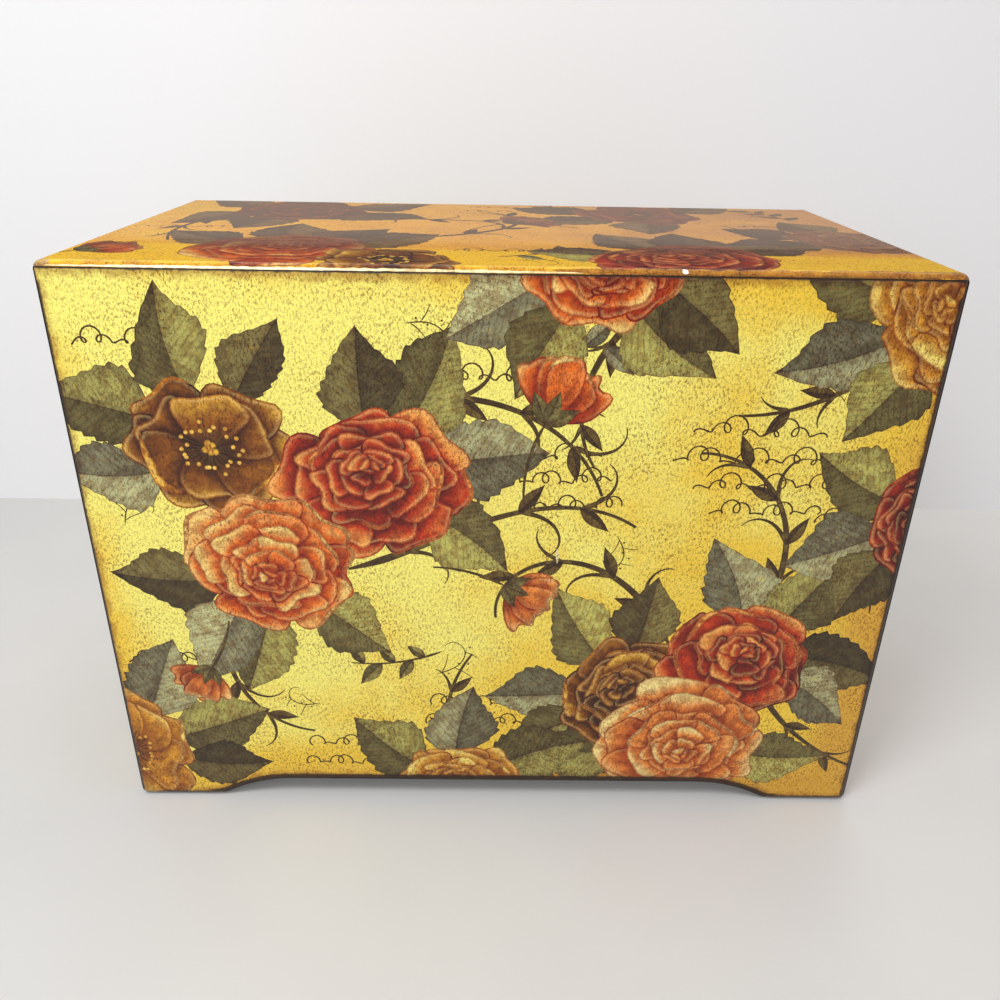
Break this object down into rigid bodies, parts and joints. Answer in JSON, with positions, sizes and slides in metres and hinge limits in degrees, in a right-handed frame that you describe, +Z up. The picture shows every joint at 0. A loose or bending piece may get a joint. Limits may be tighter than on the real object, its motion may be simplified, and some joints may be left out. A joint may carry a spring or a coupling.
{
  "type": "jewelry chest",
  "caption": "Small chest of drawers for jewellery on a low arched bracket base, covered in lacquered floral paper, with felt-lined drawers, a ring-roll insert and partitions.",
  "frame": {"origin": "centre of the whole footprint, knobs included, on the surface that the chest stands on", "axes": "+Z up; -Y is the outward side of the plain back; +Y is the way the drawers open; +X is right when facing the plain back"},
  "size_m": [0.28, 0.1682, 0.207],
  "materials": {
    "printed_paper": "printed paper under gloss lacquer",
    "stained_board": "dark stained, lacquered",
    "drawer_board": "stained, thin lacquer",
    "partition_board": "stained, thin lacquer",
    "felt": "wool felt",
    "velvet": "velvet over foam",
    "antique_brass": "aged, rubbed bright on the crown",
    "screw_steel": "zinc plated"
  },
  "bodies": {
    "case": {"apron_board": "stained_board", "apron_sheet": "printed_paper", "back_board": "stained_board", "back_sheet": "printed_paper", "floor_board": "stained_board", "left_board": "stained_board", "left_sheet": "printed_paper", "lower_shelf": "stained_board", "right_board": "stained_board", "right_sheet": "printed_paper", "top_board": "stained_board", "top_sheet": "printed_paper", "upper_shelf": "stained_board"},
    "top_drawer": {"ring_partition": "partition_board", "ring_rolls": "velvet", "top_drawer_back": "drawer_board", "top_drawer_bottom": "drawer_board", "top_drawer_front": "stained_board", "top_drawer_front_sheet": "printed_paper", "top_drawer_knob": "antique_brass", "top_drawer_knob_screw": "screw_steel", "top_drawer_left_side": "drawer_board", "top_drawer_lining": "felt", "top_drawer_right_side": "drawer_board", "tray_partition": "partition_board"},
    "middle_drawer": {"left_partition": "partition_board", "long_partition": "partition_board", "middle_drawer_back": "drawer_board", "middle_drawer_bottom": "drawer_board", "middle_drawer_front": "stained_board", "middle_drawer_front_sheet": "printed_paper", "middle_drawer_knob": "antique_brass", "middle_drawer_knob_screw": "screw_steel", "middle_drawer_left_side": "drawer_board", "middle_drawer_lining": "felt", "middle_drawer_right_side": "drawer_board", "right_partition": "partition_board"},
    "bottom_drawer": {"bottom_drawer_back": "drawer_board", "bottom_drawer_bottom": "drawer_board", "bottom_drawer_front": "stained_board", "bottom_drawer_front_sheet": "printed_paper", "bottom_drawer_knob": "antique_brass", "bottom_drawer_knob_screw": "screw_steel", "bottom_drawer_left_side": "drawer_board", "bottom_drawer_lining": "felt", "bottom_drawer_right_side": "drawer_board"}
  },
  "joints": [
    {"name": "top_drawer_slide", "type": "slide", "parent": "case", "child": "top_drawer", "axis": [0, 1, 0], "range_m": [0, 0.095]},
    {"name": "middle_drawer_slide", "type": "slide", "parent": "case", "child": "middle_drawer", "axis": [0, 1, 0], "range_m": [0, 0.095]},
    {"name": "bottom_drawer_slide", "type": "slide", "parent": "case", "child": "bottom_drawer", "axis": [0, 1, 0], "range_m": [0, 0.095]}
  ]
}
